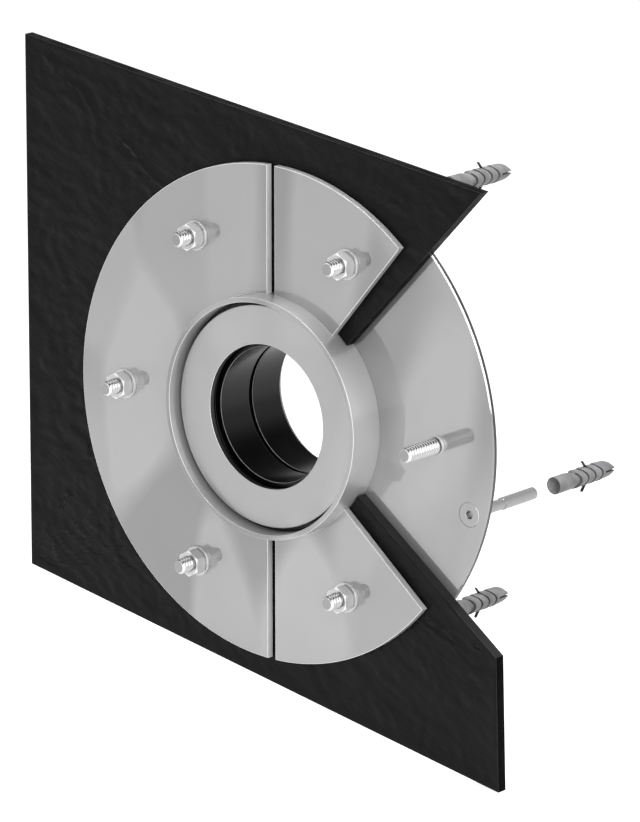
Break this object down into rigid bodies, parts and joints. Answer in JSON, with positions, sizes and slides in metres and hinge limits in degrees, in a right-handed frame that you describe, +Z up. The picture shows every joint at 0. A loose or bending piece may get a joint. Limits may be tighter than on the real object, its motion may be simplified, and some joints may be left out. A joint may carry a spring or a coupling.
{
  "type": "annular gap seal",
  "caption": "Pipe seal of rubber rings between steel plates, in a wall sleeve whose welded flange and bolted split ring clamp a black waterproofing sheet, cut open at the right.",
  "frame": {"origin": "on the pipe's axis, in the plane of the wall's face, which is the back of the fixed flange", "axes": "+Y along the pipe's axis into the wall, -Y towards the room, +Z up, +X to the right as seen from the room"},
  "size_m": [0.4909, 0.216, 0.5328],
  "materials": {
    "satin_steel": "satin stainless steel sheet with soft reflections",
    "bright_steel": "bright rolled and turned stainless steel",
    "plate_steel": "finely ground stainless steel plate",
    "inner_steel": "plain zinc-plated steel, out of sight",
    "seal_rubber": "smooth black rubber",
    "sheet_membrane": "black waterproofing sheet with a slate-like embossing",
    "dowel_plastic": "grey moulded plastic"
  },
  "bodies": {
    "root": {"clamp_screw_1": "inner_steel", "clamp_screw_2": "inner_steel", "clamp_screw_3": "inner_steel", "clamp_screw_4": "inner_steel", "clamp_screw_5": "inner_steel", "clamp_screw_6": "inner_steel", "fixed_flange": "satin_steel", "front_pressure_plate": "plate_steel", "loose_flange_left": "satin_steel", "loose_flange_lower_right": "satin_steel", "loose_flange_upper_right": "satin_steel", "rear_pressure_plate": "inner_steel", "rubber_ring_front": "seal_rubber", "rubber_ring_rear": "seal_rubber", "sleeve_weld": "inner_steel", "spacer_ring": "inner_steel", "stud_nut_2": "bright_steel", "stud_nut_3": "bright_steel", "stud_nut_4": "bright_steel", "stud_nut_5": "bright_steel", "stud_nut_6": "bright_steel", "stud_washer_2": "bright_steel", "stud_washer_3": "bright_steel", "stud_washer_4": "bright_steel", "stud_washer_5": "bright_steel", "stud_washer_6": "bright_steel", "wall_dowel_five": "dowel_plastic", "wall_dowel_four": "dowel_plastic", "wall_dowel_one": "dowel_plastic", "wall_dowel_three": "dowel_plastic", "wall_dowel_two": "dowel_plastic", "wall_screw_five": "bright_steel", "wall_screw_four": "bright_steel", "wall_screw_one": "bright_steel", "wall_screw_three": "bright_steel", "wall_screw_two": "bright_steel", "wall_sleeve": "satin_steel", "waterproofing_sheet": "sheet_membrane", "weld_stud_1": "bright_steel", "weld_stud_2": "bright_steel", "weld_stud_3": "bright_steel", "weld_stud_4": "bright_steel", "weld_stud_5": "bright_steel", "weld_stud_6": "bright_steel"}
  },
  "joints": []
}
